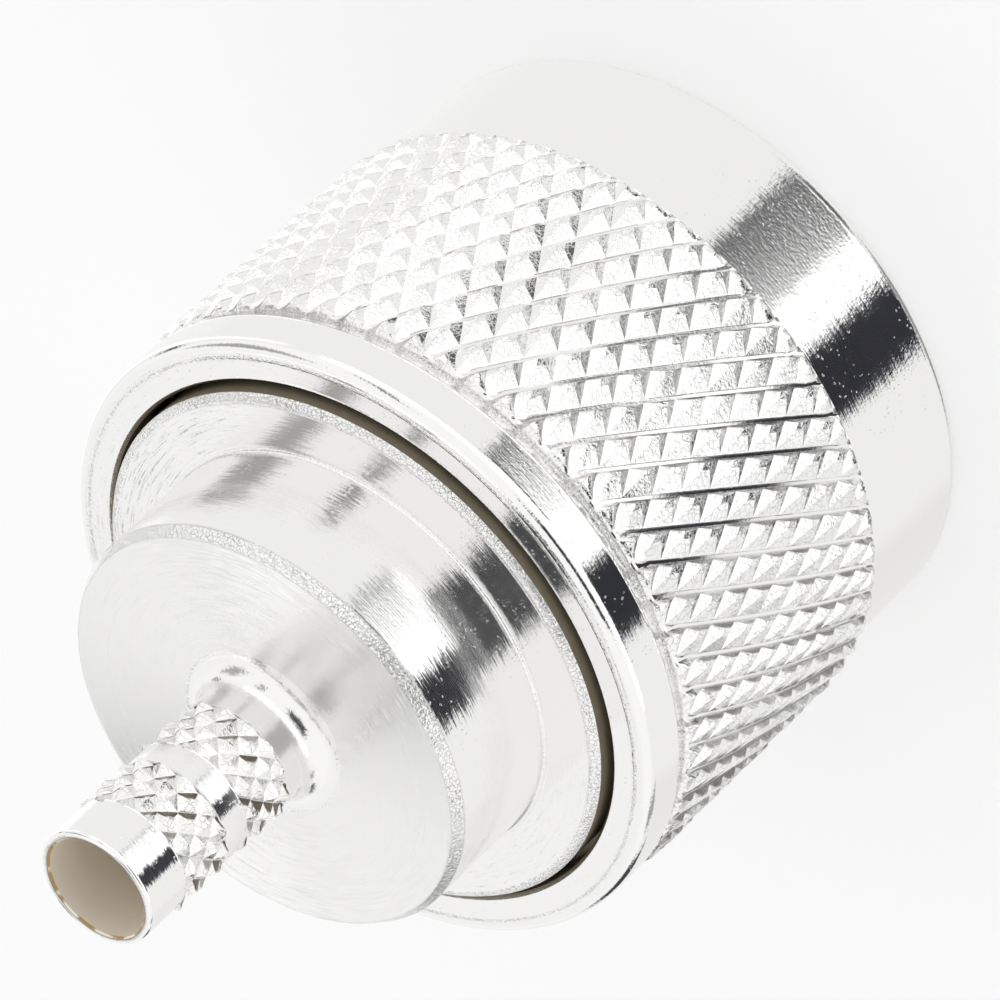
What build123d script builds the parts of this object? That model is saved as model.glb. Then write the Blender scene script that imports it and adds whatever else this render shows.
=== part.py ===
"""Male N plug of the crimp type, standing on the front ring of its coupling nut, cable end up.

All sizes are in millimetres. The axis of the plug is +Z, and z = 0 is the nut's front face. A
name that ends in _start or _end is a height along the axis.
"""
from build123d import *
from math import cos, pi, radians, sin, tan
import os

# Coupling nut, inside
thread_minor_radius = 7.45
thread_length = 7.0
thread_chamfer = 0.45
entry_step = 0.6
entry_length = 2.1
entry_chamfer = 0.25
chamber_step = 0.65
chamber_length = 2.55
nut_bearing_length = 1.8
nut_lip_length = 1.2
nut_bore_chamfer = 0.1

# Coupling nut, outside
grip_wall = 0.65
front_band_step = 0.17
front_edge_round = 0.35
rim_step = 0.13
rim_length = 1.44
rim_edge_round = 0.33
relief_length = 0.5
relief_flat = 0.09
relief_drop = 0.2

# Diamond knurl of the nut
grip_depth = 0.3
grip_count = 60
grip_helix_deg = 30
grip_half_rows = 10
grip_land_share = 0.3
grip_chamfer = 0.2

# Retaining ring
ring_thickness = 0.8
ring_width = 1.45
ring_reach = 0.34
ring_opening = 3.0

# Plug body
flange_bearing = 0.45
flange_proud = 0.42
flange_edge = 0.12
cylinder_step = 0.58
cylinder_end_wall = 0.94
cylinder_chamfer = 0.2
cylinder_chamfer_length = 0.32
neck_fillet = 0.75

# Crimp stem
stem_bore_radius = 1.665
stem_wall = 0.255
stem_neck_length = 1.46
stem_gap_length = 0.98
stem_collar_length = 1.62
stem_lip_round = 0.1

# Diamond knurl of the stem
stem_knurl_rise = 0.13
stem_knurl_depth = 0.23
stem_knurl_count = 14
stem_helix_deg = 45
stem_half_rows = 4
stem_land_share = 0.12

# Outer contact sleeve
sleeve_start = 2.5
sleeve_bore_radius = 3.5
sleeve_wall = 0.45
sleeve_tip_round = 0.15
sleeve_bead_height = 0.08
sleeve_bead_length = 0.9
sleeve_taper_length = 0.4
sleeve_root_step = 0.5
sleeve_seat_length = 3.9
slot_count = 4
slot_width = 0.5
slot_length = 6.6

# Gasket
gasket_thickness = 1.2
gasket_edge_round = 0.2

# Insulators
insulator_nose_length = 4.7
insulator_seat_step = 0.3
insulator_seat_length = 3.8
insulator_tail_length = 0.6
rear_insulator_wall = 1.27
rear_insulator_length = 2.5
insulator_edge = 0.15

# Contact pin
pin_radius = 0.825
pin_start = 2.9
pin_tip_round = 0.5
pin_bore_radius = 0.55
pin_bore_depth = 4.4
pin_wall = 0.7
pin_shoulder_edge = 0.15
pin_collar_height = 0.12
pin_collar_inset = 0.4
pin_collar_length = 0.8
pin_end_inset = 0.2
pin_hole_radius = 0.35
pin_hole_from_end = 3.4

# Fits between the pieces
nut_bore_gap = 0.31
nut_play = 0.4
radial_gap = 0.15
running_gap = 0.08
sliding_gap = 0.03

edge_tolerance = 0.01
cut_overrun = 1.0


def knurl_half_row(crest_radius, count, helix_deg):
    """Axial distance from one row of diamonds to the next, staggered one."""
    return pi * crest_radius / (count * tan(radians(helix_deg)))


# Radii of the nut, outwards from its thread, with the flange and the ring that it turns on
entry_radius = thread_minor_radius + entry_step
chamber_radius = thread_minor_radius + chamber_step
gasket_radius = thread_minor_radius - radial_gap
flange_radius = chamber_radius + flange_bearing
nut_bore_radius = flange_radius + nut_bore_gap
ring_outer_radius = nut_bore_radius + ring_reach
nut_groove_radius = ring_outer_radius + radial_gap
grip_root_radius = nut_groove_radius + grip_wall
grip_crest_radius = grip_root_radius + grip_depth
front_band_radius = grip_root_radius - front_band_step
rim_radius = grip_crest_radius - rim_step

# Radii of the body, inwards from the ring: its groove lets the ring close as the nut slides over
ring_inner_radius = ring_outer_radius - ring_width
body_groove_radius = ring_inner_radius - ring_reach - sliding_gap
cylinder_radius = body_groove_radius - cylinder_step

# Radii of the sleeve, the pin, the insulators and the stem
sleeve_radius = sleeve_bore_radius + sleeve_wall
sleeve_root_radius = sleeve_radius + sleeve_root_step
insulator_seat_radius = sleeve_bore_radius + insulator_seat_step
pin_shank_radius = pin_bore_radius + pin_wall
pin_collar_radius = pin_shank_radius + pin_collar_height
rear_insulator_radius = pin_collar_radius + sliding_gap + rear_insulator_wall
stem_radius = stem_bore_radius + stem_wall
stem_crest_radius = stem_radius + stem_knurl_rise

# Heights of the nut
thread_end = entry_length + thread_length
chamber_start = thread_end + thread_chamfer
chamber_end = chamber_start + chamber_length
ring_start = chamber_end + nut_bearing_length
ring_end = ring_start + ring_thickness
nut_length = ring_end + nut_lip_length
rim_start = nut_length - rim_length
grip_end = rim_start - relief_length
grip_start = grip_end - grip_half_rows * knurl_half_row(grip_crest_radius, grip_count, grip_helix_deg)

# Heights of the body and of what it holds
flange_front = chamber_end + nut_play
flange_rear = nut_length + flange_proud
sleeve_end = flange_front + sleeve_seat_length
front_insulator_end = sleeve_end + insulator_tail_length
insulator_step = sleeve_end - insulator_seat_length
front_insulator_start = insulator_step - insulator_nose_length
rear_insulator_end = front_insulator_end + rear_insulator_length
cylinder_end = rear_insulator_end + cylinder_end_wall
pin_collar_start = insulator_step + pin_collar_inset
pin_end = rear_insulator_end - pin_end_inset
stem_band_length = stem_half_rows * knurl_half_row(stem_crest_radius, stem_knurl_count, stem_helix_deg)
first_band_start = cylinder_end + stem_neck_length
second_band_start = first_band_start + stem_band_length + stem_gap_length
stem_end = second_band_start + stem_band_length + stem_collar_length


def turned(outline):
    """A turned piece: a closed outline of (radius, height) points spun about the axis."""
    points = [(radius, 0, height) for radius, height in outline]
    return revolve(make_face(Polyline(*points, close=True)), axis=Axis.Z)


def edges_at(piece, radius, height):
    """The round edges of a turned piece at this radius and height."""
    return [
        edge
        for edge in piece.edges().filter_by(GeomType.CIRCLE)
        if abs(edge.radius - radius) < edge_tolerance
        and abs(edge.arc_center.Z - height) < edge_tolerance
    ]


def knurled_ring(crest_radius, depth, count, helix_deg, half_rows, land_share, bore_radius, bottom):
    """A ring whose outside is a diamond knurl.

    Two families of V grooves with opposite helices leave rows of staggered diamonds. The groove
    bottoms cross at the corners of the diamonds, on the root radius. Each diamond has a small flat
    land on top and four flat flanks, and each flank is the plane through two corners and the tip of
    the land, so the land's side tips lie where those planes reach the height of the land.
    """
    root_radius = crest_radius - depth
    half_angle = pi / count
    half_row = knurl_half_row(crest_radius, count, helix_deg)
    land_half_length = land_share * half_row
    chord_drop = root_radius * (1 - cos(half_angle))
    chord_side = root_radius * sin(half_angle)
    slope_along = depth / (half_row - land_half_length)
    slope_across = (half_row * slope_along + chord_drop) / chord_side
    land_half_width = (half_row * slope_along - depth) / slope_across

    def place(local, angle, height):
        out, side, along = local
        return (
            out * cos(angle) - side * sin(angle),
            out * sin(angle) + side * cos(angle),
            height + along,
        )

    def flat(points):
        return Face(Wire.make_polygon(points, close=True))

    side_corner = (root_radius - chord_drop, chord_side, 0)
    side_tip = (crest_radius, land_half_width, 0)
    end_corner = (root_radius, 0, half_row)
    end_tip = (crest_radius, 0, land_half_length)

    def mirrored(point, across, along):
        return (point[0], point[1] * across, point[2] * along)

    faces = []
    bottom_ring = []
    top_ring = []
    for row in range(half_rows + 1):
        height = bottom + row * half_row
        ways = [way for way in (-1, 1) if 0 <= row + way <= half_rows]
        for index in range(count):
            angle = half_angle * (2 * index + row % 2)
            tips = [mirrored(end_tip, 1, way) for way in ways]
            if len(ways) == 2:
                land = [tips[0], mirrored(side_tip, 1, 1), tips[1], mirrored(side_tip, -1, 1)]
            else:
                land = [tips[0], mirrored(side_tip, 1, 1), mirrored(side_tip, -1, 1)]
            faces.append(flat([place(point, angle, height) for point in land]))
            for way in ways:
                for across in (-1, 1):
                    flank = [
                        mirrored(end_tip, across, way),
                        mirrored(side_tip, across, way),
                        mirrored(side_corner, across, way),
                        mirrored(end_corner, across, way),
                    ]
                    faces.append(flat([place(point, angle, height) for point in flank]))
            rim = [
                place(mirrored(side_tip, -1, 1), angle, height),
                place(side_tip, angle, height),
                place(side_corner, angle, height),
            ]
            if row == 0:
                bottom_ring += rim
            if row == half_rows:
                top_ring += rim

    top = bottom + half_rows * half_row
    for ring, height in ((bottom_ring, bottom), (top_ring, top)):
        hole = Wire(Edge.make_circle(bore_radius, Plane((0, 0, height))))
        faces.append(Face(Wire.make_polygon(ring, close=True), [hole]))
    inside = Solid.make_cylinder(bore_radius, top - bottom, Plane((0, 0, bottom)))
    faces += inside.faces().filter_by(GeomType.CYLINDER)
    return Solid(Shell(faces))


def coupling_nut():
    """The nut: smooth front band, knurled grip, relief and smooth rim, with its stepped bore."""
    core_radius = (nut_groove_radius + grip_root_radius) / 2
    relief_radius = rim_radius - relief_drop
    blank = turned(
        [
            (entry_radius + entry_chamfer, 0),
            (front_band_radius, 0),
            (front_band_radius, grip_start),
            (core_radius, grip_start),
            (core_radius, grip_end),
            (relief_radius, grip_end),
            (relief_radius, grip_end + relief_flat),
            (rim_radius, rim_start),
            (rim_radius, nut_length),
            (nut_bore_radius + nut_bore_chamfer, nut_length),
            (nut_bore_radius, nut_length - nut_bore_chamfer),
            (nut_bore_radius, ring_end + running_gap),
            (nut_groove_radius, ring_end + running_gap),
            (nut_groove_radius, ring_start - running_gap),
            (nut_bore_radius, ring_start - running_gap),
            (nut_bore_radius, chamber_end),
            (chamber_radius, chamber_end),
            (chamber_radius, chamber_start),
            (thread_minor_radius, thread_end),
            (thread_minor_radius, entry_length + entry_step),
            (entry_radius, entry_length),
            (entry_radius, entry_chamfer),
        ]
    )
    blank = fillet(edges_at(blank, front_band_radius, 0), front_edge_round)
    blank = fillet(edges_at(blank, rim_radius, nut_length), rim_edge_round)
    grip = knurled_ring(
        grip_crest_radius,
        grip_depth,
        grip_count,
        grip_helix_deg,
        grip_half_rows,
        grip_land_share,
        core_radius,
        grip_start,
    )
    end_bevel = turned(
        [
            (grip_root_radius, grip_end),
            (grip_crest_radius, grip_end - grip_chamfer),
            (grip_crest_radius + cut_overrun, grip_end - grip_chamfer),
            (grip_crest_radius + cut_overrun, grip_end + cut_overrun),
            (grip_root_radius, grip_end + cut_overrun),
        ]
    )
    return blank + (grip - end_bevel)


def plug_body():
    """Flange, cylinder and crimp stem, turned from one bar, with the bores for what it holds."""
    stem_root_radius = stem_crest_radius - stem_knurl_depth
    core_radius = (stem_bore_radius + stem_root_radius) / 2
    band_starts = (first_band_start, second_band_start)
    outline = [
        (sleeve_root_radius, flange_front),
        (flange_radius - flange_edge, flange_front),
        (flange_radius, flange_front + flange_edge),
        (flange_radius, ring_start - sliding_gap),
        (body_groove_radius, ring_start - sliding_gap),
        (body_groove_radius, ring_end),
        (flange_radius, ring_end),
        (flange_radius, flange_rear - flange_edge),
        (flange_radius - flange_edge, flange_rear),
        (cylinder_radius, flange_rear),
        (cylinder_radius, cylinder_end - cylinder_chamfer_length),
        (cylinder_radius - cylinder_chamfer, cylinder_end),
        (stem_radius, cylinder_end),
    ]
    for start in band_starts:
        outline += [
            (stem_radius, start),
            (core_radius, start),
            (core_radius, start + stem_band_length),
            (stem_radius, start + stem_band_length),
        ]
    outline += [
        (stem_radius, stem_end),
        (stem_bore_radius, stem_end),
        (stem_bore_radius, rear_insulator_end),
        (rear_insulator_radius, rear_insulator_end),
        (rear_insulator_radius, front_insulator_end),
        (insulator_seat_radius, front_insulator_end),
        (insulator_seat_radius, sleeve_end),
        (sleeve_root_radius, sleeve_end),
    ]
    body = turned(outline)
    body = fillet(edges_at(body, stem_radius, cylinder_end), neck_fillet)
    body = fillet(edges_at(body, stem_radius, stem_end), stem_lip_round)
    for start in band_starts:
        body += knurled_ring(
            stem_crest_radius,
            stem_knurl_depth,
            stem_knurl_count,
            stem_helix_deg,
            stem_half_rows,
            stem_land_share,
            core_radius,
            start,
        )
    return body


def outer_contact():
    """The sleeve pressed into the body, with its bead and slots at the open end."""
    bead_radius = sleeve_radius + sleeve_bead_height
    bead_end = sleeve_start + sleeve_bead_length
    root_start = flange_front - gasket_thickness
    sleeve = turned(
        [
            (sleeve_bore_radius, sleeve_start),
            (bead_radius, sleeve_start),
            (bead_radius, bead_end - sleeve_bead_height),
            (sleeve_radius, bead_end),
            (sleeve_radius, root_start - sleeve_taper_length),
            (sleeve_root_radius, root_start),
            (sleeve_root_radius, sleeve_end),
            (insulator_seat_radius, sleeve_end),
            (insulator_seat_radius, insulator_step),
            (sleeve_bore_radius, insulator_step),
        ]
    )
    sleeve = fillet(edges_at(sleeve, bead_radius, sleeve_start), sleeve_tip_round)
    slot = Box(
        sleeve_root_radius + cut_overrun,
        slot_width,
        slot_length + cut_overrun,
        align=(Align.MIN, Align.CENTER, Align.MIN),
    )
    for index in range(slot_count):
        turn = Rot(Z=360 / slot_count * (index + 1 / 2))
        sleeve -= turn * Pos(Z=sleeve_start - cut_overrun) * slot
    return sleeve


def retaining_ring():
    """The open snap ring that lies in the body's groove and reaches into the nut's."""
    ring = turned(
        [
            (ring_inner_radius, ring_start),
            (ring_outer_radius, ring_start),
            (ring_outer_radius, ring_end),
            (ring_inner_radius, ring_end),
        ]
    )
    opening = Box(
        ring_outer_radius + cut_overrun,
        ring_opening,
        ring_thickness + cut_overrun,
        align=(Align.MIN, Align.CENTER, Align.CENTER),
    )
    return ring - Pos(Z=(ring_start + ring_end) / 2) * opening


def front_gasket():
    """The soft ring on the flange's front face, round the root of the sleeve."""
    front = flange_front - gasket_thickness
    gasket = turned(
        [
            (sleeve_root_radius, front),
            (gasket_radius, front),
            (gasket_radius, flange_front),
            (sleeve_root_radius, flange_front),
        ]
    )
    return fillet(edges_at(gasket, gasket_radius, front), gasket_edge_round)


def front_insulator():
    """The stepped bush that centres the pin, trapped between the sleeve's step and the body's."""
    shank_hole = pin_shank_radius + sliding_gap
    collar_hole = pin_collar_radius + sliding_gap
    return turned(
        [
            (shank_hole, front_insulator_start),
            (sleeve_bore_radius - insulator_edge, front_insulator_start),
            (sleeve_bore_radius, front_insulator_start + insulator_edge),
            (sleeve_bore_radius, insulator_step),
            (insulator_seat_radius, insulator_step),
            (insulator_seat_radius, front_insulator_end),
            (collar_hole, front_insulator_end),
            (collar_hole, pin_collar_start),
            (shank_hole, pin_collar_start),
        ]
    )


def rear_insulator():
    """The bush behind it, that the pin passes through from the stem."""
    collar_hole = pin_collar_radius + sliding_gap
    return turned(
        [
            (collar_hole, front_insulator_end),
            (rear_insulator_radius, front_insulator_end),
            (rear_insulator_radius, rear_insulator_end - insulator_edge),
            (rear_insulator_radius - insulator_edge, rear_insulator_end),
            (collar_hole, rear_insulator_end),
        ]
    )


def contact_pin():
    """The centre pin: rounded tip, shank, collar, and the bore and side hole for the conductor."""
    collar_end = pin_collar_start + pin_collar_length
    pin = turned(
        [
            (0, pin_start),
            (pin_radius, pin_start),
            (pin_radius, front_insulator_start),
            (pin_shank_radius - pin_shoulder_edge, front_insulator_start),
            (pin_shank_radius, front_insulator_start + pin_shoulder_edge),
            (pin_shank_radius, pin_collar_start),
            (pin_collar_radius, pin_collar_start),
            (pin_collar_radius, collar_end),
            (pin_shank_radius, collar_end),
            (pin_shank_radius, pin_end - pin_shoulder_edge),
            (pin_shank_radius - pin_shoulder_edge, pin_end),
            (pin_bore_radius, pin_end),
            (pin_bore_radius, pin_end - pin_bore_depth),
            (0, pin_end - pin_bore_depth),
        ]
    )
    pin = fillet(edges_at(pin, pin_radius, pin_start), pin_tip_round)
    side_hole = Cylinder(
        pin_hole_radius,
        pin_shank_radius + cut_overrun,
        rotation=(0, 90, 0),
        align=(Align.CENTER, Align.CENTER, Align.MIN),
    )
    return pin - Pos(Z=pin_end - pin_hole_from_end) * side_hole


pieces = {
    "coupling_nut": coupling_nut,
    "plug_body": plug_body,
    "outer_contact": outer_contact,
    "retaining_ring": retaining_ring,
    "front_gasket": front_gasket,
    "front_insulator": front_insulator,
    "rear_insulator": rear_insulator,
    "contact_pin": contact_pin,
}

os.makedirs("parts", exist_ok=True)
for name, make in pieces.items():
    export_step(make(), f"parts/{name}.step")
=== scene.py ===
"""A male N plug of the crimp type in bright nickel, standing on its coupling nut, cable end up."""

from math import cos, pi, radians, sin, tan

import bpy
import numpy as np
from mathutils import Matrix


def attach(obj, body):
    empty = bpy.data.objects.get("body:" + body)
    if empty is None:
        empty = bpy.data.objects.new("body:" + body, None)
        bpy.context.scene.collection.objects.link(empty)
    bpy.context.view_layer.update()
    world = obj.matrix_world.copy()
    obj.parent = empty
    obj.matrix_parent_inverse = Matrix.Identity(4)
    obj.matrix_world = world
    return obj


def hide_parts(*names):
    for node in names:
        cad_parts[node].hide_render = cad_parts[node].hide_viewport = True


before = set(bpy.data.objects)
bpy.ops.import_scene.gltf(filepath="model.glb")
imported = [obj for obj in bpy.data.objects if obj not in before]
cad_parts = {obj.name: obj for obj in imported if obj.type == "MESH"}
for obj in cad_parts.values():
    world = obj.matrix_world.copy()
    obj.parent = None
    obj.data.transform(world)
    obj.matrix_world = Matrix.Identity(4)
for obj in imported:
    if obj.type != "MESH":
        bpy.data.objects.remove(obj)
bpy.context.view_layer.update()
scene = bpy.context.scene
mm = 0.001
micron = 0.001 * mm


# The viewpoint: the plug is seen from above its cable end, from about 0.3 m away through a long
# lens, with the picture turned until the cable end points down to the left.
view_elevation = radians(36.47)
view_roll = radians(133.11)
view_distance = 294.1 * mm
view_side = 0.21 * mm
seen_height = 8.79 * mm
lens_length = 365.98
sensor_width = 36.0

upright = np.array([0, sin(view_elevation), cos(view_elevation)])
backward = np.array([0, -cos(view_elevation), sin(view_elevation)])
picture_up = cos(view_roll) * upright + sin(view_roll) * np.array([1.0, 0, 0])
picture_right = np.cross(picture_up, backward)
viewpoint = np.array([view_side, 0, seen_height]) + view_distance * backward

camera = bpy.data.objects.new("camera", bpy.data.cameras.new("camera"))
scene.collection.objects.link(camera)
camera.data.sensor_width = sensor_width
camera.data.lens = lens_length
camera.data.clip_start = 10 * mm
stance = np.column_stack([picture_right, picture_up, backward, viewpoint])
camera.matrix_world = Matrix([*stance.tolist(), [0, 0, 0, 1]])
scene.camera = camera
scene.view_settings.view_transform = "Standard"


# The studio: a white tent round the plug with light bands, a window, and grey and black cards,
# which bright nickel needs to show its form. Each card is given by its middle and half its size
# in degrees, round the plug and up, and covers those before it. The floor is pale paper.
def grey(level):
    return (level, level, level, 1)


tent_below = (0.94, 0.94, 0.937, 1)
tent_above = grey(1.03)
horizon_blur = 30
turn_seam = 40
cards = [
    # Light bands at the plug's own height and a little below it.
    {"at": (268, -6.5), "half": (73, 15.5), "soft": 5, "colour": grey(1.35)},
    {"at": (382, -22), "half": (22, 7), "soft": 5, "colour": grey(1.25)},
    {"at": (62, -27), "half": (22, 7), "soft": 5, "colour": grey(1.25)},
    # Warm greys low down, beside and behind the plug.
    {"at": (125, -45), "half": (28, 12), "soft": 14, "colour": (0.85, 0.845, 0.84, 1)},
    {"at": (185, -66), "half": (50, 12), "soft": 9, "colour": (0.3, 0.297, 0.29, 1)},
    # The window, with a dark grey card under it and a black one beside it: stripes on upright walls.
    {"at": (260, -33.5), "half": (21.5, 7), "soft": 4, "colour": grey(1.4)},
    {"at": (271.5, -52.6), "half": (15, 16), "soft": 4, "lean": 0.11, "colour": (0.12, 0.12, 0.122, 1)},
    {"at": (223.5, -37), "half": (13.5, 12.5), "soft": 3.5, "colour": (0.03, 0.031, 0.038, 1)},
    # Over the plug, for the bevels and round edges that look up.
    {"at": (241, 37), "half": (23, 13), "soft": 5, "colour": (0.05, 0.051, 0.056, 1)},
    {"at": (383, 37), "half": (13, 14), "soft": 7, "colour": (0.42, 0.415, 0.41, 1)},
    {"at": (326, 37), "half": (4, 12), "soft": 4, "colour": grey(0.22)},
    # Over the far side, for the turned end face: a wide sheet, and strips that its rings draw out.
    {"at": (90, 36), "half": (40, 24), "soft": 24, "colour": grey(0.98)},
    {"at": (85, 50), "half": (4, 8), "soft": 2, "colour": grey(1.7)},
    {"at": (78.5, 63), "half": (6.5, 7), "soft": 3, "colour": grey(1.7)},
    {"at": (93, 50), "half": (2.5, 8), "soft": 1.5, "colour": grey(0)},
    {"at": (99, 63), "half": (5, 7), "soft": 3, "colour": grey(0)},
    {"at": (88.6, 18), "half": (1.2, 14), "soft": 1, "colour": grey(0)},
    # Behind the plug, so that its walls show dark stripes from there too.
    {"at": (131, -10), "half": (9, 17), "soft": 4, "colour": (0.05, 0.051, 0.056, 1)},
    {"at": (157, -10), "half": (5, 17), "soft": 5, "colour": (0.35, 0.347, 0.34, 1)},
    {"at": (398, -2), "half": (6, 9), "soft": 4, "colour": (0.12, 0.12, 0.122, 1)},
]
floor_half_width = 400 * mm
paper_colour = grey(0.56)
paper_glow = 0.44


class Value:
    """One value of a shader: + - and * with a number or another value add a Math node."""

    def __init__(self, shader, socket):
        self.shader = shader
        self.socket = socket

    def maths(self, operation, first, second=0.0):
        return self.shader.node("ShaderNodeMath", {"operation": operation}, {0: first, 1: second})

    def __add__(self, other):
        return self.maths("ADD", self, other)

    __radd__ = __add__

    def __sub__(self, other):
        return self.maths("SUBTRACT", self, other)

    def __rsub__(self, other):
        return self.maths("SUBTRACT", other, self)

    def __mul__(self, other):
        return self.maths("MULTIPLY", self, other)

    __rmul__ = __mul__

    def above(self, edge, softness):
        """0 below the edge and 1 above it, with a smooth step of this width between them."""
        return self.shader.node(
            "ShaderNodeMapRange",
            {"interpolation_type": "SMOOTHSTEP"},
            {"Value": self, "From Min": edge - softness / 2, "From Max": edge + softness / 2},
        )

    def beside(self, output):
        """Another output of the same node."""
        return Value(self.shader, self.socket.node.outputs[output])


class Shader:
    """The nodes of a material or of the surroundings."""

    def __init__(self, owner):
        owner.use_nodes = True
        self.tree = owner.node_tree
        self.tree.nodes.clear()

    def node(self, kind, settings=None, inputs=None, output=0):
        """Adds a node: its settings first, then the values or links of its sockets."""
        node = self.tree.nodes.new(kind)
        for name, setting in (settings or {}).items():
            if name == "stops":
                ramp = node.color_ramp
                while len(ramp.elements) < len(setting):
                    ramp.elements.new(0.5)
                for element, (position, colour) in zip(ramp.elements, setting):
                    element.position = position
                    element.color = colour
            else:
                setattr(node, name, setting)
        for name, value in (inputs or {}).items():
            if isinstance(value, Value):
                self.tree.links.new(value.socket, node.inputs[name])
            else:
                node.inputs[name].default_value = value
        return Value(self, node.outputs[output]) if len(node.outputs) else node

    def colours(self, share, first, second):
        """The first colour where the share is 0 and the second where it is 1."""
        return self.node(
            "ShaderNodeMix",
            {"data_type": "RGBA"},
            {0: share, 6: first, 7: second},
            output=2,
        )


scene.world = bpy.data.worlds.new("tent")
scene.world.cycles.sampling_method = "NONE"
tent = Shader(scene.world)
direction = tent.node("ShaderNodeTexCoord")
x = tent.node("ShaderNodeSeparateXYZ", None, {0: direction})
turn = x.maths("ARCTAN2", x.beside("Y"), x) * (180 / pi)
turn = tent.node("ShaderNodeMath", {"operation": "WRAP"}, {0: turn, 1: turn_seam + 360, 2: turn_seam})
height = x.maths("ARCSINE", x.beside("Z")) * (180 / pi)
light = tent.colours(height.above(0, horizon_blur), tent_below, tent_above)
for card in cards:
    leant = height - (turn - card["at"][0]) * card["lean"] if "lean" in card else height
    place = tent.node("ShaderNodeCombineXYZ", None, {0: turn, 1: leant})
    away = tent.node("ShaderNodeVectorMath", {"operation": "SUBTRACT"}, {0: place, 1: (*card["at"], 0)})
    away = tent.node("ShaderNodeVectorMath", {"operation": "ABSOLUTE"}, {0: away})
    inside = tent.node(
        "ShaderNodeMapRange",
        {"data_type": "FLOAT_VECTOR", "interpolation_type": "SMOOTHSTEP"},
        {
            "Vector": away,
            7: [half - card["soft"] / 2 for half in card["half"]] + [1],
            8: [half + card["soft"] / 2 for half in card["half"]] + [2],
            9: (1, 1, 1),
            10: (0, 0, 0),
        },
        output=1,
    )
    inside = tent.node("ShaderNodeSeparateXYZ", None, {0: inside})
    light = tent.colours(inside * inside.beside("Y"), light, card["colour"])
seen = tent.node("ShaderNodeLightPath")
lit = tent.node("ShaderNodeBackground", None, {"Color": light})
white = tent.node("ShaderNodeBackground", None, {"Color": (1, 1, 1, 1)})
backdrop = tent.node("ShaderNodeMixShader", None, {0: seen, 1: lit, 2: white})
tent.node("ShaderNodeOutputWorld", None, {0: backdrop})

floor = bpy.data.objects.new("floor", bpy.data.meshes.new("floor"))
edge = floor_half_width
floor.data.from_pydata([(-edge, -edge, 0), (edge, -edge, 0), (edge, edge, 0), (-edge, edge, 0)], [], [(0, 1, 2, 3)])
scene.collection.objects.link(floor)
paper = bpy.data.materials.new("paper")
sheet = Shader(paper)
matt = sheet.node("ShaderNodeBsdfDiffuse", None, {"Color": paper_colour})
glow = sheet.node("ShaderNodeEmission", None, {"Strength": paper_glow})
paper_light = sheet.node("ShaderNodeAddShader", None, {0: matt, 1: glow})
open_air = sheet.node("ShaderNodeBsdfTransparent")
in_metal = sheet.node("ShaderNodeLightPath", output="Is Glossy Ray")
seen_paper = sheet.node("ShaderNodeMixShader", None, {0: in_metal, 1: paper_light, 2: open_air})
sheet.node("ShaderNodeOutputMaterial", None, {0: seen_paper})
floor.data.materials.append(paper)


# The coupling nut: turned from brass bar, its grip rolled with a diamond knurl, then plated with
# bright nickel. A 5/8-24 UNEF thread is cut inside, and the rear bore turns on the body's flange.
nut_length = 15.9 * mm
front_band_radius = 9.83 * mm
front_edge_round = 0.35 * mm
rim_radius = 10.17 * mm
rim_edge_round = 0.33 * mm
rim_start = 14.46 * mm
relief_flat = 0.09 * mm
relief_radius = 9.97 * mm
entry_radius = 8.05 * mm
entry_length = 2.1 * mm
entry_chamfer = 0.25 * mm
thread_minor_radius = 7.45 * mm
thread_end = 9.1 * mm
thread_pitch = 25.4 / 24 * mm
thread_depth = 0.49 * mm
thread_steps = 9
thread_root_share = 3 / 7
thread_runout_share = 0.35
chamber_radius = 8.1 * mm
chamber_start = 9.55 * mm
chamber_end = 12.1 * mm
nut_bore_radius = 8.86 * mm
nut_bore_chamfer = 0.1 * mm
nut_groove_radius = 9.35 * mm
nut_groove_heights = (13.82 * mm, 14.78 * mm)
grip_crest_radius = 10.3 * mm
grip_depth = 0.22 * mm
grip_count = 60
grip_helix = radians(30)
grip_half_rows = 10
grip_steps = 6
grip_land_steps = 3
grip_channel_steps = 2
grip_cross_floor = 0.2
grip_shade = 0.55
grip_end = 13.96 * mm
grip_settling_p = ([-1, -0.5, 0.5, 1], [-1, -0.38, 0.15, 1])
grip_settling_q = ([-1, -0.83, -0.67, -0.17, 0.17, 0.67, 0.83, 1], [-1, -0.92, -0.87, 0.2, 0.66, 0.85, 0.91, 1])
grip_end_bevel = 0.38 * mm
grip_seed = 7
grip_unevenness = 0.07
front_band_wear = [(0.45 * mm, 0.05), (1.0 * mm, 0.07), (1.7 * mm, 0.04), (2.6 * mm, 0.02), (3.4 * mm, 0.0)]
rear_line_wear = [(0.09 * mm, 0.1), (0.13 * mm, 1), (0.2 * mm, 1), (0.24 * mm, 0.1)]
worn_width = 0.06 * mm
nut_gap_shade_slot = 2
turned_crack_size = 0.12 * mm
rolled_crack_size = 0.22 * mm
gap_patch_size = 0.5 * mm
gap_crust_depth = 6 * micron
# The painted shade of the narrow gap between the nut and the body's flange.
gap_shade_olive = (0.24, 0.205, 0.145, 1)
gap_shade_brown = (0.16, 0.13, 0.085, 1)
nut_columns = 2 * grip_count * grip_steps
nut_bore_columns = nut_columns // 3
nickel_colour = (0.905, 0.9, 0.892, 1)
# A brown, for the painted shade on the knurls' flanks, and for darker cracks and thread roots.
tarnish_and_shade_colour = (0.13, 0.105, 0.075, 1)


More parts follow.
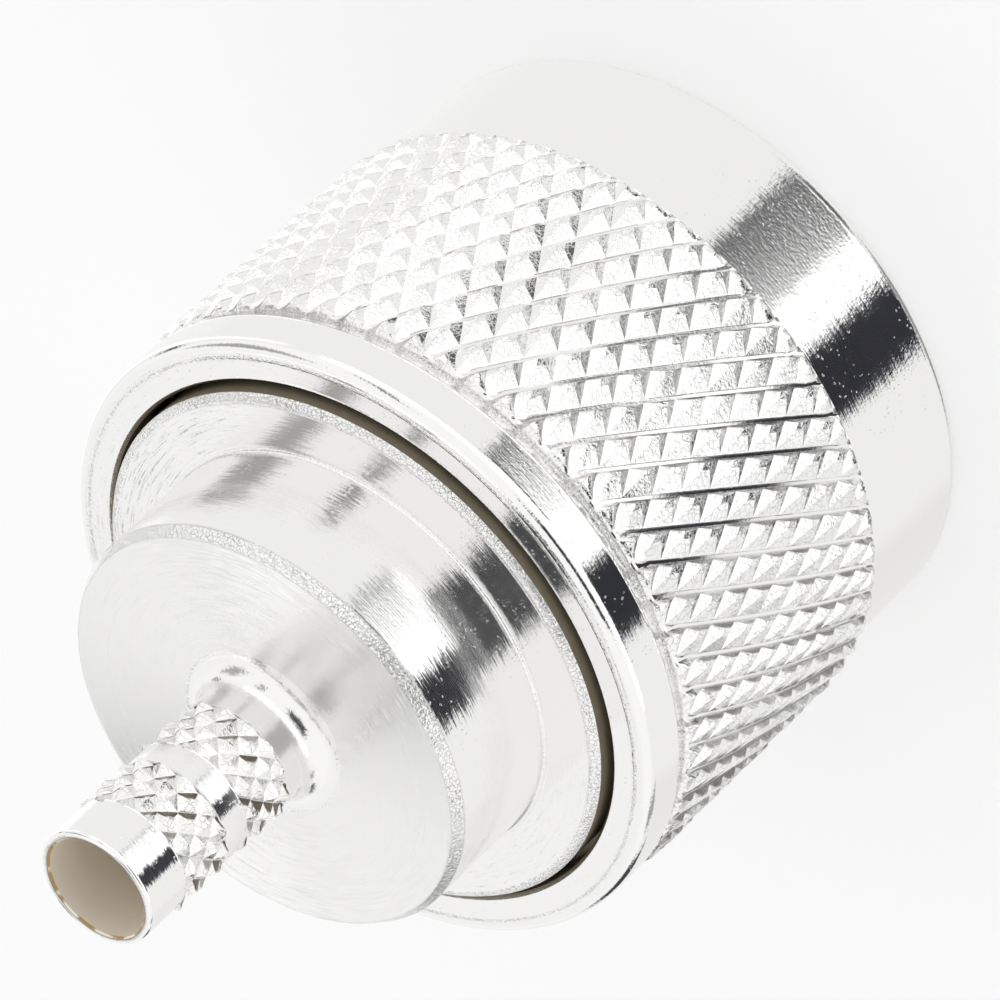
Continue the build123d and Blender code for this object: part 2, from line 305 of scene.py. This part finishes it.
class Skin:
    """A closed surface made of rings of points about the axis, each ring joined to the next.

    A ring has one radius and height for each of its columns, or one for all of them. Rings of
    equal count are joined by four-sided faces, and a ring that has a whole multiple of the
    other's columns by triangles. The finish values of the points are kept beside them.
    """

    def __init__(self):
        self.rings = []

    def ring(
        self, radius, height, columns, corner=False, wear=0.0, dirt=0.0, crest=0.0, grid=None, plating=0, turn=0.0,
        spread=False,
    ):
        """One ring, whose wear, dirt and painted shade stay near it unless they are spread to the next ring."""
        even = np.ones(columns)
        self.rings.append(
            {
                "radius": radius * even,
                "height": height * even,
                "turn": turn * even,
                "wear": wear * even,
                "dirt": dirt * even,
                "crest": crest * even,
                "corner": corner,
                "grid": grid,
                "plating": plating,
                "columns": columns,
                "spread": spread,
            }
        )

    def line(self, points, columns, **finish):
        """Rings through points of (radius, height), each with a corner in its shading."""
        for radius, height in points:
            self.ring(radius, height, columns, corner=True, **finish)

    def arc(self, centre, radius, start, end, columns, steps=6, support=0.0, **finish):
        """Rings along an arc, from one angle to another, in the plane of radius and height.

        The support is a length of the straight line before and after the arc, on which the
        shading is already flat.
        """
        turn = np.linspace(start, end, steps + 1)
        across = centre[0] + radius * np.cos(turn)
        along = centre[1] + radius * np.sin(turn)
        way = 1 if end > start else -1
        first = (across[0] + way * support * sin(start), along[0] - way * support * cos(start))
        last = (across[-1] - way * support * sin(end), along[-1] + way * support * cos(end))
        if support:
            self.ring(*first, columns, **finish)
        for place in zip(across, along):
            self.ring(*place, columns, **finish)
        if support:
            self.ring(*last, columns, **finish)

    def confine(self, width):
        """Keeps wear, dirt and painted shade within this width of the ends of each long stretch between rings.

        A clean ring is added at that distance from either end. Knurls, changes of the count of
        columns and rings whose finish is spread are left as they are.
        """
        rings = self.rings
        self.rings = []
        for low, ring in enumerate(rings):
            self.rings.append(ring)
            after = rings[(low + 1) % len(rings)]
            plain = ring["grid"] is None and after["grid"] is None and ring["columns"] == after["columns"]
            plain = plain and not (ring["spread"] or after["spread"])
            across = after["radius"][0] - ring["radius"][0]
            along = after["height"][0] - ring["height"][0]
            length = (across**2 + along**2) ** 0.5
            if not plain or length < 4 * width:
                continue
            for share in (width / length, 1 - width / length):
                self.ring(
                    ring["radius"][0] + share * across,
                    ring["height"][0] + share * along,
                    ring["columns"],
                    plating=ring["plating"],
                )

    def faces(self):
        """Faces between each ring and the next, turned so that they point out of the metal."""
        counts = [ring["columns"] for ring in self.rings]
        starts = np.concatenate([[0], np.cumsum(counts)])
        quads, triangles, quad_plating, triangle_plating = [], [], [], []
        for low, ring in enumerate(self.rings):
            high = (low + 1) % len(self.rings)
            few, many = sorted((counts[low], counts[high]))
            ratio = many // few
            here, there = starts[low], starts[high]
            i = np.arange(many)
            after = (i + 1) % many
            if ratio == 1 and ring["grid"] is not None and self.rings[high]["grid"] is not None:
                leans = ring["grid"]["leans"]
                one = np.where(leans, [here + i, here + after, there + i], [here + i, here + after, there + after])
                two = np.where(leans, [here + after, there + after, there + i], [here + i, there + after, there + i])
                new = [one.T, two.T]
            elif ratio == 1:
                quads.append(np.stack([here + i, here + after, there + after, there + i], 1))
                quad_plating.append(np.full(many, ring["plating"]))
                new = []
            else:
                nearest = (i + ratio // 2) // ratio % few
                coarse = np.arange(few)
                beyond = (coarse + 1) % few
                turning = (ratio * (coarse + 1) - ratio // 2) % many
                if counts[low] == many:
                    new = [
                        np.stack([here + i, here + after, there + nearest], 1),
                        np.stack([here + turning, there + beyond, there + coarse], 1),
                    ]
                else:
                    new = [
                        np.stack([here + nearest, there + after, there + i], 1),
                        np.stack([here + coarse, here + beyond, there + turning], 1),
                    ]
            triangles += new
            triangle_plating += [np.full(len(t), ring["plating"]) for t in new]
        kept = [face for group in quads + triangles for face in group.tolist()]
        return kept, np.concatenate(quad_plating + triangle_plating)

    def object(self, name, materials):
        """The mesh object, with its points at angles evenly spaced about the axis."""
        self.confine(worn_width)
        columns = np.array([ring["columns"] for ring in self.rings])
        numbers = np.repeat(np.arange(len(self.rings)), columns)
        index = np.concatenate([np.arange(count) for count in columns])
        radius, height, turn, wear, dirt, crest = (
            np.concatenate([ring[key] for ring in self.rings])
            for key in ("radius", "height", "turn", "wear", "dirt", "crest")
        )
        angle = index * 2 * pi / columns[numbers] + turn
        points = np.stack([radius * np.cos(angle), radius * np.sin(angle), height], 1)
        faces, plating = self.faces()
        mesh = bpy.data.meshes.new(name)
        mesh.from_pydata(points.tolist(), [], faces)
        mesh.polygons.foreach_set("use_smooth", np.ones(len(faces), bool))
        mesh.polygons.foreach_set("material_index", plating.astype(np.int32))
        for key, values in (("wear", wear), ("dirt", dirt), ("crest", crest)):
            mesh.attributes.new(key, "FLOAT", "POINT").data.foreach_set("value", values.astype(np.float32))
        ends = np.empty(2 * len(mesh.edges), np.int32)
        mesh.edges.foreach_get("vertices", ends)
        one, two = ends.reshape(-1, 2).T
        corner = np.array([ring["corner"] for ring in self.rings])
        sharp = (numbers[one] == numbers[two]) & corner[numbers[one]]
        level = np.full(len(points), -1)
        share = np.full((2, len(points)), -1)
        steps = 1
        starts = np.concatenate([[0], np.cumsum(columns)])
        for number, ring in enumerate(self.rings):
            if ring["grid"] is not None:
                span = slice(starts[number], starts[number + 1])
                level[span] = ring["grid"]["level"]
                share[:, span] = ring["grid"]["share"]
                steps = ring["grid"]["steps"]
                land = ring["grid"]["land"]
        knurled = (level[one] >= 0) & (level[two] >= 0)
        same_row = numbers[one] == numbers[two]
        same_column = index[one] == index[two]
        slanted = ~same_row & ~same_column
        top = share.max(0)
        hip = share[0] == share[1]
        sharp |= knurled & ~slanted & hip[one] & hip[two]
        if knurled.any():
            sharp |= knurled & slanted & (top[one] == land) & (top[two] == land)
            for family in share:
                for bound in (steps, steps + 1):
                    sharp |= knurled & slanted & (family[one] == bound) & (family[two] == bound)
        mesh.attributes.new("sharp_edge", "BOOLEAN", "EDGE").data.foreach_set("value", sharp)
        for material in materials:
            mesh.materials.append(material)
        mesh.update()
        made = bpy.data.objects.new(name, mesh)
        scene.collection.objects.link(made)
        return made


def knurl(
    skin, bottom, crest_radius, depth, count, helix, half_rows, steps, land, seed, unevenness,
    channel=0, cross_floor=0.0, settling_p=None, settling_q=None, bevel=0.0, shade=0.0, plating=1,
):
    """Rings of a diamond knurl: two families of grooves with opposite helices.

    Counted in half pitches, a point at a round the axis and b along it lies p = (a + b) / 2 across
    one family and q = (a - b) / 2 across the other, with a diamond's centre where both are whole.
    The surface rises from the groove bottoms, half way between whole numbers, in proportion to the
    distance from the nearer groove, up to a flat land. With a channel, the second family is cut
    through as flat-bottomed channels, and the first ends above them, at the cross floor. The rolls
    push the metal: the settlings give where points at given shares of the way across p and q end
    up. Each diamond's top is moved, leans and stands a little differently from its neighbours. The
    tops are worn, and the creases fade from the tops to the groove bottoms. The flank on the second
    family that looks towards the mating end gets painted shade, stronger on some diamonds than on
    others.
    """
    top_wear = 0.25
    shade_ramp = 3
    crease_reach, crease_least = 0.25, 0.2
    columns = 2 * count * steps
    half_row = pi * crest_radius / (count * tan(helix))
    vary = np.random.default_rng(seed)
    moved_p, moved_q, lean_p, lean_q, stand = vary.normal(0, unevenness, (5, 2 * count, half_rows + 1))
    i = np.arange(columns)
    last = half_rows * steps
    for j in range(last + 1):
        p_share = (i + j + steps) % (2 * steps) - steps
        q_share = (i - j + steps) % (2 * steps) - steps
        share = np.abs([p_share, q_share])
        share[1] += channel
        away = np.minimum(share.max(0) / steps, 1)
        column = np.round((i - (p_share + q_share) / 2) / steps).astype(int) % (2 * count)
        row = np.clip(np.round((j - (p_share - q_share) / 2) / steps).astype(int), 0, half_rows)
        lean = lean_p[column, row] * p_share / steps + lean_q[column, row] * q_share / steps
        rise = np.minimum(1, (1 - away) / (1 - land / steps))
        rise = cross_floor + (1 - cross_floor) * rise
        rise = np.where(share[1] > steps, 0, rise)
        rise = np.clip(rise * (1 + np.minimum(lean + stand[column, row] - unevenness, 0)), 0, 1)
        push_p = moved_p[column, row] * (1 - away)
        push_q = moved_q[column, row] * (1 - away)
        if settling_q:
            push_p = push_p + np.interp(p_share / steps, *settling_p) - p_share / steps
            push_q = push_q + np.interp(q_share / steps, *settling_q) - q_share / steps
        inner = min(1, j / steps, (last - j) / steps)
        height = bottom + (j + inner * (push_p - push_q) / 2 * steps) * half_row / steps
        radius = crest_radius - depth + depth * rise
        to_end = min(j, last - j) * half_row / steps
        if bevel and to_end < bevel:
            radius = np.minimum(radius, crest_radius - depth * (1 - to_end / bevel))
        middle_p = np.abs((i + j + 1 + steps) % (2 * steps) - steps)
        middle_q = np.abs(q_share)
        # Painted shade on the flank of the second family that looks towards the mating end, fading in from the land
        # and stronger on some diamonds than on others.
        shaded = (q_share > 0) & (share[1] >= share[0]) & (share[1] <= steps)
        spread = np.clip(0.5 + stand[column, row] / unevenness, 0, 1)
        skin.ring(
            radius,
            height,
            columns,
            wear=top_wear * (away < (land + 1) / steps),
            dirt=shade * np.clip(shade_ramp * (steps * away - land) / (steps - land), 0, 1) * shaded * spread,
            crest=np.clip(1 + crease_reach - away, crease_least, 1) * (share[1] <= steps),
            grid={"level": j, "share": share, "steps": steps, "land": land, "leans": middle_p > middle_q + channel},
            plating=plating,
            turn=(push_p + push_q) / 2 * pi / count,
        )


grain_size = 0.11 * mm
grain_depth = 2 * micron
crumb_depth = 32 * micron
crack_bend = 0.16 * mm
crack_depth = 14 * micron
creased_grain_depth = 14 * micron
patch_size = 1.1 * mm
mark_length = 0.9 * mm
mark_width = 0.036 * mm
pit_spacing = 0.13 * mm
pit_depth = 4 * micron


def nickel(name, crack_size, marks_depth=0.0, sway=0.0, crease_depth=0.0, roughness=0.1, drawn_out=0.0):
    """Bright nickel over turning marks, with pits and rough worn edges. It is darkened towards a brown as
    painted shade on one flank of each knurl diamond, and a little in the roots of the thread.

    The marks are noise drawn out round the axis: its coordinate changes slowly with x and y and
    quickly with height plus radius, so it runs in rings on cylinders and on flat faces alike. The
    sway tilts the surface a little to and fro round the axis along the same marks, which draws
    reflections out into streaks, and a drawn out shine spreads them across the marks. Creases are
    the edges of irregular cells, where the rolls have folded the metal, and crumbs are small lumps
    of plating on the worn edges. The cracks between the cells are drawn darker, in patches, on worn
    edges and along the creases.
    """
    material = bpy.data.materials.new(name)
    finish = Shader(material)
    place = finish.node("ShaderNodeTexCoord", output="Object")
    wear, dirt, crest = (
        finish.node("ShaderNodeAttribute", {"attribute_name": key}, output="Fac") for key in ("wear", "dirt", "crest")
    )
    grain = finish.node("ShaderNodeTexNoise", None, {"Vector": place, "Scale": 1 / grain_size, "Detail": 2})
    bent = finish.node(
        "ShaderNodeVectorMath",
        {"operation": "MULTIPLY_ADD"},
        {0: grain.beside("Color"), 1: (crack_bend, crack_bend, crack_bend), 2: place},
    )
    folds = finish.node(
        "ShaderNodeTexVoronoi", {"feature": "DISTANCE_TO_EDGE"}, {"Vector": bent, "Scale": 1 / crack_size}
    )
    cracks = 1 - folds.above(0.03, 0.05)
    patches = finish.node("ShaderNodeTexNoise", None, {"Vector": place, "Scale": 1 / patch_size, "Detail": 1})
    grouped = patches.above(0.5, 0.3)
    polish = roughness + wear * 0.12 + dirt * 0.1
    relief = grain * (grain_depth + wear * crumb_depth) - cracks * wear * wear * crack_depth
    if marks_depth:
        x = finish.node("ShaderNodeSeparateXYZ", None, {0: place})
        y, z = x.beside("Y"), x.beside("Z")
        radius = (x * x + y * y).maths("SQRT", x * x + y * y)
        along, across = 1 / mark_length, 1 / mark_width
        ringed = finish.node("ShaderNodeCombineXYZ", None, {0: x * along, 1: y * along, 2: (z + radius) * across})
        marks = finish.node("ShaderNodeTexNoise", None, {"Vector": ringed, "Scale": 1, "Detail": 2, "Roughness": 0.6})
        cells = finish.node("ShaderNodeTexVoronoi", {"feature": "F1"}, {"Vector": bent, "Scale": 1 / pit_spacing})
        chosen = finish.node("ShaderNodeSeparateColor", None, {0: cells.beside("Color")}).above(0.72, 0.1)
        pits = (1 - cells.above(0.22, 0.26)) * chosen * grouped
        relief = relief + marks * marks_depth - pits * pit_depth
    if crease_depth:
        relief = relief + grain * crest * creased_grain_depth - cracks * crest * crease_depth
    bump = finish.node("ShaderNodeBump", None, {"Strength": 1, "Distance": 1, "Height": relief})
    if sway:
        round_axis = finish.node("ShaderNodeTangent", {"direction_type": "RADIAL", "axis": "Z"})
        tilt = (marks - 0.5) * sway
        tilt = finish.node("ShaderNodeCombineXYZ", None, {0: tilt, 1: tilt, 2: tilt})
        swayed = finish.node("ShaderNodeVectorMath", {"operation": "MULTIPLY_ADD"}, {0: round_axis, 1: tilt, 2: bump})
        bump = finish.node("ShaderNodeVectorMath", {"operation": "NORMALIZE"}, {0: swayed})
    # The brown mix is painted shade on the knurls' flanks, a darkening in the thread's roots, and darker cracks on
    # worn edges and creases.
    stain_and_shade = dirt * (0.7 + 0.3 * grouped) + cracks * (wear * wear * 0.6 + crest * 0.28) * grouped
    metal = finish.node(
        "ShaderNodeBsdfPrincipled",
        None,
        {
            "Base Color": finish.colours(stain_and_shade, nickel_colour, tarnish_and_shade_colour),
            "Metallic": 1,
            "Roughness": polish,
            "Anisotropic": drawn_out,
            "Anisotropic Rotation": 0.25,
            "Normal": bump,
        },
    )
    finish.node("ShaderNodeOutputMaterial", None, {0: metal})
    return material


turned_nickel = nickel(
    "turned_nickel", turned_crack_size, marks_depth=1 * micron, sway=0.1, roughness=0.085, drawn_out=0.6
)
rolled_nickel = nickel("rolled_nickel", rolled_crack_size, crease_depth=10 * micron, roughness=0.11)
# Painted shade for the narrow gap between the nut's bore and the body's flange: a mottled dark olive and brown stands
# in for the shade there, over a little relief.
gap_painted_shade = bpy.data.materials.new("gap_painted_shade")
finish = Shader(gap_painted_shade)
place = finish.node("ShaderNodeTexCoord", output="Object")
mottle = finish.node("ShaderNodeTexNoise", None, {"Vector": place, "Scale": 1 / gap_patch_size, "Detail": 2})
olive = finish.colours(mottle, gap_shade_olive, gap_shade_brown)
crust = finish.node("ShaderNodeBump", None, {"Distance": 1, "Height": mottle * gap_crust_depth})
dull = finish.node(
    "ShaderNodeBsdfPrincipled", None, {"Base Color": olive, "Metallic": 0.2, "Roughness": 0.5, "Normal": crust}
)
finish.node("ShaderNodeOutputMaterial", None, {0: dull})
nut = Skin()
wide = nut_columns
narrow = nut_bore_columns
root_radius = grip_crest_radius - grip_depth
grip_start = grip_end - grip_half_rows * pi * grip_crest_radius / (grip_count * tan(grip_helix))
nut.ring(front_band_radius - 2 * front_edge_round, 0, wide)
nut.arc(
    (front_band_radius - front_edge_round, front_edge_round),
    front_edge_round, -pi / 2, 0, wide, steps=5, support=0.04 * mm, wear=0.15,
)
for level, worn in front_band_wear:
    nut.ring(front_band_radius, level, wide, wear=worn, spread=worn > 0)
nut.line([(front_band_radius, grip_start)], wide)
nut.line([(root_radius, grip_start)], wide, wear=0.8)
knurl(
    nut, grip_start, grip_crest_radius, grip_depth, grip_count, grip_helix, grip_half_rows,
    grip_steps, grip_land_steps, grip_seed, grip_unevenness, grip_channel_steps, grip_cross_floor,
    grip_settling_p, grip_settling_q, grip_end_bevel, grip_shade,
)
nut.line([(relief_radius, grip_end), (relief_radius, grip_end + relief_flat)], wide, wear=1)
nut.line([(rim_radius, rim_start)], wide, wear=0.5)
nut.arc(
    (rim_radius - rim_edge_round, nut_length - rim_edge_round),
    rim_edge_round, 0, pi / 2, wide, steps=6, support=0.04 * mm, wear=0.1,
)
for inwards, worn in rear_line_wear:
    nut.ring(rim_radius - rim_edge_round - inwards, nut_length, wide, wear=worn)
nut.ring(rim_radius - 2 * rim_edge_round, nut_length, wide)
nut.ring(nut_bore_radius + nut_bore_chamfer + worn_width, nut_length, narrow)
nut.line([(nut_bore_radius + nut_bore_chamfer, nut_length)], narrow, wear=0.5)
# The bore wall and the ring's groove inside the gap get the gap's painted shade.
nut.line([(nut_bore_radius, nut_length - nut_bore_chamfer)], narrow, plating=nut_gap_shade_slot)
nut.line(
    [
        (nut_bore_radius, nut_groove_heights[1]),
        (nut_groove_radius, nut_groove_heights[1]),
        (nut_groove_radius, nut_groove_heights[0]),
        (nut_bore_radius, nut_groove_heights[0]),
        (nut_bore_radius, chamber_end),
    ],
    narrow,
    plating=nut_gap_shade_slot,
)
nut.line([(chamber_radius, chamber_end), (chamber_radius, chamber_start), (thread_minor_radius, thread_end)], narrow)
thread_start = entry_length + entry_radius - thread_minor_radius
thread_rows = round(thread_steps * (thread_end - thread_start) / thread_pitch)
thread_slope = 2 / (1 - thread_root_share)
bore_angle = np.arange(narrow) * 2 * pi / narrow
for row in range(1, thread_rows):
    level = thread_end + (thread_start - thread_end) * row / thread_rows
    phase = (level / thread_pitch - bore_angle / (2 * pi)) % 1
    groove = np.clip(thread_slope * (0.5 - np.abs(phase - 0.5)), 0, 1)
    fade = np.clip(min(level - thread_start, thread_end - level) / (thread_runout_share * thread_pitch), 0, 1)
    # The thread is darkened a little towards the roots of its groove.
    nut.ring(thread_minor_radius + thread_depth * groove * fade, level, narrow, dirt=0.15 * groove)
nut.line(
    [
        (thread_minor_radius, thread_start),
        (entry_radius, entry_length),
        (entry_radius, entry_chamfer),
        (entry_radius + entry_chamfer, 0),
    ],
    narrow,
)
coupling_nut = nut.object("coupling_nut_plated", [turned_nickel, rolled_nickel, gap_painted_shade])
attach(coupling_nut, "nut")
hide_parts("coupling_nut")


# The plug's body: one turned piece of brass with the flange that the nut turns on, a plain drum
# and a hollow stem with two rolled bands, over which the cable's braid is crimped. Bright nickel.
flange_radius = 8.66 * mm
flange_heights = (12.5 * mm, 16.32 * mm)
flange_bevel = 0.19 * mm
flange_worn_width = 0.07 * mm
flange_clean_width = 0.13 * mm
ring_groove_radius = 7.38 * mm
ring_groove_heights = (13.87 * mm, 14.7 * mm)
drum_radius = 6.8 * mm
drum_foot_fillet = 0.1 * mm
drum_edge = 20.12 * mm
drum_end = 20.44 * mm
drum_end_radius = 6.6 * mm
drum_worn_width = 0.05 * mm
drum_face_margin = 0.4 * mm
neck_fillet = 0.75 * mm
stem_radius = 1.92 * mm
stem_end = 28.18 * mm
stem_lip = 0.1 * mm
stem_bore_radius = 1.665 * mm
stem_bore_edge = 0.045 * mm
stem_band_starts = (21.9 * mm, 24.72 * mm)
stem_band_length = 1.84 * mm
stem_crest_radius = 2.05 * mm
stem_knurl_depth = 0.23 * mm
stem_knurl_count = 14
stem_knurl_helix = radians(45)
stem_knurl_half_rows = 4
stem_knurl_steps = 8
stem_land_steps = 1
stem_shade = 2.2
cavity = [
    (radius * mm, level * mm)
    for radius, level in ((2.67, 19.5), (2.67, 17.0), (3.8, 17.0), (3.8, 16.4), (4.45, 16.4), (4.45, 12.5))
]
stem_columns = 2 * stem_knurl_count * stem_knurl_steps
drum_columns = 2 * stem_columns
bore_columns = stem_columns // 2
stem_seeds = (20, 21)
stem_unevenness = 0.13
bore_plating, face_plating, body_gap_shade_slot = 2, 3, 4
bore_patch_size = 0.7 * mm
bore_score_depth = 4 * micron
bore_tan = (0.93, 0.87, 0.765, 1)
bore_dark_tan = (0.86, 0.79, 0.675, 1)
bare_brass = (0.42, 0.26, 0.08, 1)

drum_nickel = nickel(
    "drum_nickel", turned_crack_size, marks_depth=1.8 * micron, sway=0.22, roughness=0.11, drawn_out=0.7
)
faced_nickel = nickel(
    "faced_nickel", turned_crack_size, marks_depth=1.5 * micron, sway=0.25, roughness=0.27, drawn_out=0.97
)
bore_metal = bpy.data.materials.new("bore_metal")
finish = Shader(bore_metal)
place = finish.node("ShaderNodeTexCoord", output="Object")
mottle = finish.node("ShaderNodeTexNoise", None, {"Vector": place, "Scale": 1 / bore_patch_size, "Detail": 3})
tan_colour = finish.colours(mottle, bore_tan, bore_dark_tan)
bare = finish.node("ShaderNodeAttribute", {"attribute_name": "dirt"}, output="Fac") * mottle.above(0.47, 0.1)
tan_colour = finish.colours(bare, tan_colour, bare_brass)
scored = finish.node("ShaderNodeBump", None, {"Distance": 1, "Height": mottle * bore_score_depth})
bore_coat = finish.node(
    "ShaderNodeBsdfPrincipled",
    None,
    {"Base Color": tan_colour, "Metallic": 0.25, "Roughness": 0.3 + 0.2 * mottle, "Normal": scored},
)
finish.node("ShaderNodeOutputMaterial", None, {0: bore_coat})

body = Skin()
wide = drum_columns
flange_front, flange_rear = flange_heights
flange_edge_radius = flange_radius - flange_bevel
body.line([(flange_edge_radius, flange_front), (flange_radius, flange_front + flange_bevel)], wide, wear=0.5)
# The ring's groove in the flange gets the gap's painted shade.
body.line(
    [
        (flange_radius, ring_groove_heights[0]),
        (ring_groove_radius, ring_groove_heights[0]),
        (ring_groove_radius, ring_groove_heights[1]),
        (flange_radius, ring_groove_heights[1]),
    ],
    wide,
    plating=body_gap_shade_slot,
)
body.line([(flange_radius, flange_rear - flange_bevel)], wide, wear=1)
body.ring(flange_radius - 0.4 * flange_bevel, flange_rear - 0.4 * flange_bevel, wide, wear=1)
body.line([(flange_edge_radius, flange_rear)], wide, wear=1)
body.ring(flange_edge_radius - flange_worn_width, flange_rear, wide, wear=1)
body.ring(flange_edge_radius - flange_clean_width, flange_rear, wide)
body.arc(
    (drum_radius + drum_foot_fillet, flange_rear + drum_foot_fillet),
    drum_foot_fillet, -pi / 2, -pi, wide, steps=3, support=0.03 * mm, wear=0.4,
)
body.ring(drum_radius, drum_edge - drum_worn_width, wide, wear=0.3)
body.line([(drum_radius, drum_edge)], wide, wear=1)
for share in (0.35, 0.7):
    body.ring(
        drum_radius + share * (drum_end_radius - drum_radius),
        drum_edge + share * (drum_end - drum_edge),
        wide,
        wear=1,
    )
body.line([(drum_end_radius, drum_end)], wide, wear=1, plating=face_plating)
body.ring(drum_end_radius - drum_face_margin, drum_end, wide, plating=face_plating)
narrow = stem_columns
body.arc(
    (stem_radius + neck_fillet, drum_end + neck_fillet),
    neck_fillet, -pi / 2, -pi, narrow, steps=10, support=0.1 * mm, wear=0.15,
)
for seed, band_start in zip(stem_seeds, stem_band_starts):
    body.line([(stem_radius, band_start)], narrow, wear=0.5)
    knurl(
        body, band_start, stem_crest_radius, stem_knurl_depth, stem_knurl_count, stem_knurl_helix,
        stem_knurl_half_rows, stem_knurl_steps, stem_land_steps, seed, stem_unevenness, shade=stem_shade,
    )
    body.line([(stem_radius, band_start + stem_band_length)], narrow, wear=0.5)
body.arc(
    (stem_radius - stem_lip, stem_end - stem_lip),
    stem_lip, 0, pi / 2, narrow, steps=5, support=0.03 * mm, wear=0.03,
)
narrow = bore_columns
body.line(
    [(stem_bore_radius + stem_bore_edge, stem_end), (stem_bore_radius, stem_end - stem_bore_edge)],
    narrow,
    plating=bore_plating,
    dirt=1,
)
body.ring(stem_bore_radius, stem_end - 2 * stem_bore_edge, narrow, plating=bore_plating)
body.line([(stem_bore_radius, cavity[0][1])], narrow, plating=bore_plating)
body.line(cavity, narrow, plating=bore_plating)
plug_body = body.object("plug_body_plated", [drum_nickel, rolled_nickel, bore_metal, faced_nickel, gap_painted_shade])
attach(plug_body, "plug")
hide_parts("plug_body")


# The pieces inside are plain turned, bored or punched ones: the bronze ring that holds the nut on
# the body, the sprung sleeve of the outer contact, the silicone gasket, two PTFE beads that hold
# the pin on the axis, and the pin itself, plated with gold.
def clothe(node, name, colour, second_colour, metallic, roughness, spread, relief_depth, scale):
    """A colour that varies in patches, with a relief of the same scale, on a piece of the frame."""
    material = bpy.data.materials.new(name)
    finish = Shader(material)
    place = finish.node("ShaderNodeTexCoord", output="Object")
    patches = finish.node("ShaderNodeTexNoise", None, {"Vector": place, "Scale": 1 / scale, "Detail": 2})
    bump = finish.node("ShaderNodeBump", None, {"Distance": 1, "Height": patches * relief_depth})
    shell = finish.node(
        "ShaderNodeBsdfPrincipled",
        None,
        {
            "Base Color": finish.colours(patches.above(0.5, 0.5), colour, second_colour),
            "Metallic": metallic,
            "Roughness": roughness + spread * patches,
            "Normal": bump,
        },
    )
    finish.node("ShaderNodeOutputMaterial", None, {0: shell})
    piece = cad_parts[node]
    piece.data.materials.clear()
    piece.data.materials.append(material)


# The bronze ring is given a dark colour, partly tarnish and partly painted shade of the gap it sits in.
clothe(
    "retaining_ring", "bronze_tarnish_and_shade", (0.36, 0.31, 0.22, 1), (0.27, 0.23, 0.16, 1),
    metallic=1, roughness=0.25, spread=0.2, relief_depth=2 * micron, scale=0.5 * mm,
)
clothe(
    "outer_contact", "sprung_nickel", (0.86, 0.85, 0.83, 1), (0.80, 0.79, 0.76, 1),
    metallic=1, roughness=0.12, spread=0.15, relief_depth=2 * micron, scale=0.4 * mm,
)
clothe(
    "front_gasket", "red_silicone", (0.60, 0.10, 0.06, 1), (0.50, 0.075, 0.045, 1),
    metallic=0, roughness=0.5, spread=0.2, relief_depth=6 * micron, scale=0.3 * mm,
)
for bead, ptfe in (("front_insulator", "white_ptfe"), ("rear_insulator", "white_ptfe_bead")):
    clothe(
        bead, ptfe, (0.90, 0.90, 0.87, 1), (0.84, 0.84, 0.81, 1),
        metallic=0, roughness=0.35, spread=0.2, relief_depth=4 * micron, scale=0.4 * mm,
    )
clothe(
    "contact_pin", "gold_plate", (0.95, 0.70, 0.28, 1), (0.90, 0.63, 0.24, 1),
    metallic=1, roughness=0.15, spread=0.15, relief_depth=1 * micron, scale=0.2 * mm,
)
